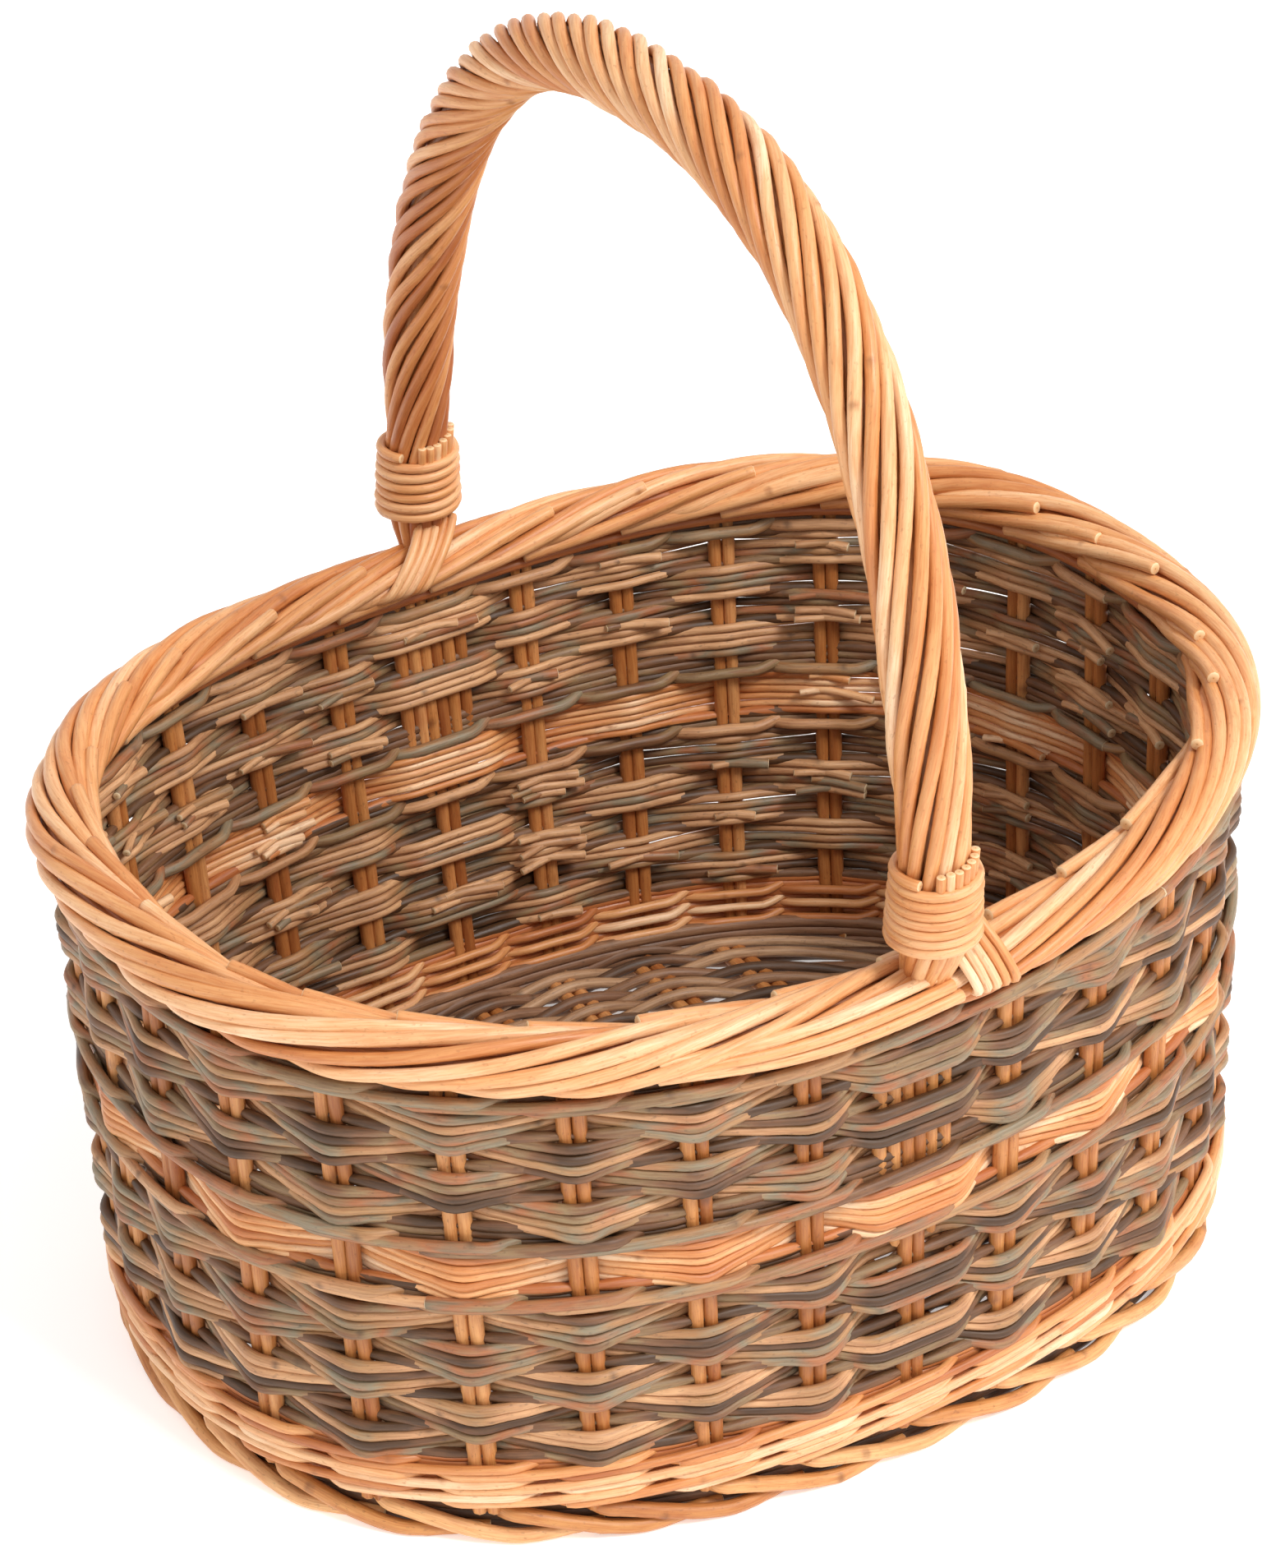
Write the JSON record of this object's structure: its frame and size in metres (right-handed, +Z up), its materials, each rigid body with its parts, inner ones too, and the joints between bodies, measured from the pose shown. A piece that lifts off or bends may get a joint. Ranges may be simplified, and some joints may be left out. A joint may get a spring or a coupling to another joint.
{
  "type": "woven market basket",
  "caption": "Oval willow market basket with a fixed roped bow handle, woven from buff and grey-brown willow rods.",
  "frame": {"origin": "on the ground below the centre of the oval rim", "axes": "+X along the basket's length, +Y across it under the handle's arch, +Z up; the handle stands in the YZ plane"},
  "size_m": [0.4298, 0.3648, 0.4582],
  "materials": {
    "buff_willow": "satin",
    "grey_willow": "matte",
    "stake_willow": "satin",
    "base_willow": "matte"
  },
  "bodies": {
    "root": {"base_long_sticks": "stake_willow", "base_cross_sticks": "stake_willow", "base_weave": "base_willow", "foot_hoop": "stake_willow", "foot_border": "stake_willow", "upsett_wale_1": "buff_willow", "upsett_wale_2": "buff_willow", "upsett_wale_3": "buff_willow", "slew_row_01": "grey_willow", "slew_row_02": "grey_willow", "slew_row_03": "grey_willow", "slew_row_04": "grey_willow", "slew_row_05": "grey_willow", "slew_row_06": "buff_willow", "slew_row_07": "grey_willow", "slew_row_08": "grey_willow", "slew_row_09": "grey_willow", "slew_row_10": "grey_willow", "mid_wale_lower": "grey_willow", "mid_wale_upper": "grey_willow", "top_wale": "grey_willow", "side_stakes": "stake_willow", "rim_border": "buff_willow", "handle_bow": "stake_willow", "handle_rope": "buff_willow", "handle_liners_front": "stake_willow", "handle_liners_back": "stake_willow", "binding_front": "buff_willow", "binding_back": "buff_willow", "lashing_front": "buff_willow", "lashing_back": "buff_willow", "rope_ends_front": "buff_willow", "rope_ends_back": "buff_willow"}
  },
  "joints": []
}
